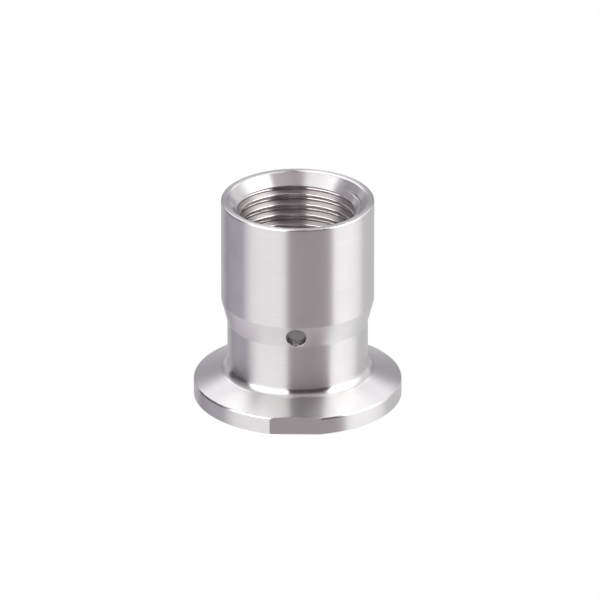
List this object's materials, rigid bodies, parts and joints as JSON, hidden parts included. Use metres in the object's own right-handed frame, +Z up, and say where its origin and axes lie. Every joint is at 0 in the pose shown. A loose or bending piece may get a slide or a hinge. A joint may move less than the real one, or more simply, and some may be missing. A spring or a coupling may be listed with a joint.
{
  "type": "sanitary clamp threaded adapter",
  "caption": "Turned stainless steel ferrule with a clamp flange at its foot, a female parallel pipe thread in its mouth and a radial leak hole through its conical step.",
  "frame": {"origin": "centre of the clamp face, where the turning axis meets it", "axes": "+Z up the turning axis, out of the threaded mouth; -Y out of the leak hole and square to the flat on the rim; +X to the right of the leak hole as it is looked at from outside"},
  "size_m": [0.034, 0.0335, 0.0345],
  "materials": {
    "stainless_steel": "fine turned satin stainless steel"
  },
  "bodies": {
    "root": {"adapter": "stainless_steel"}
  },
  "joints": []
}
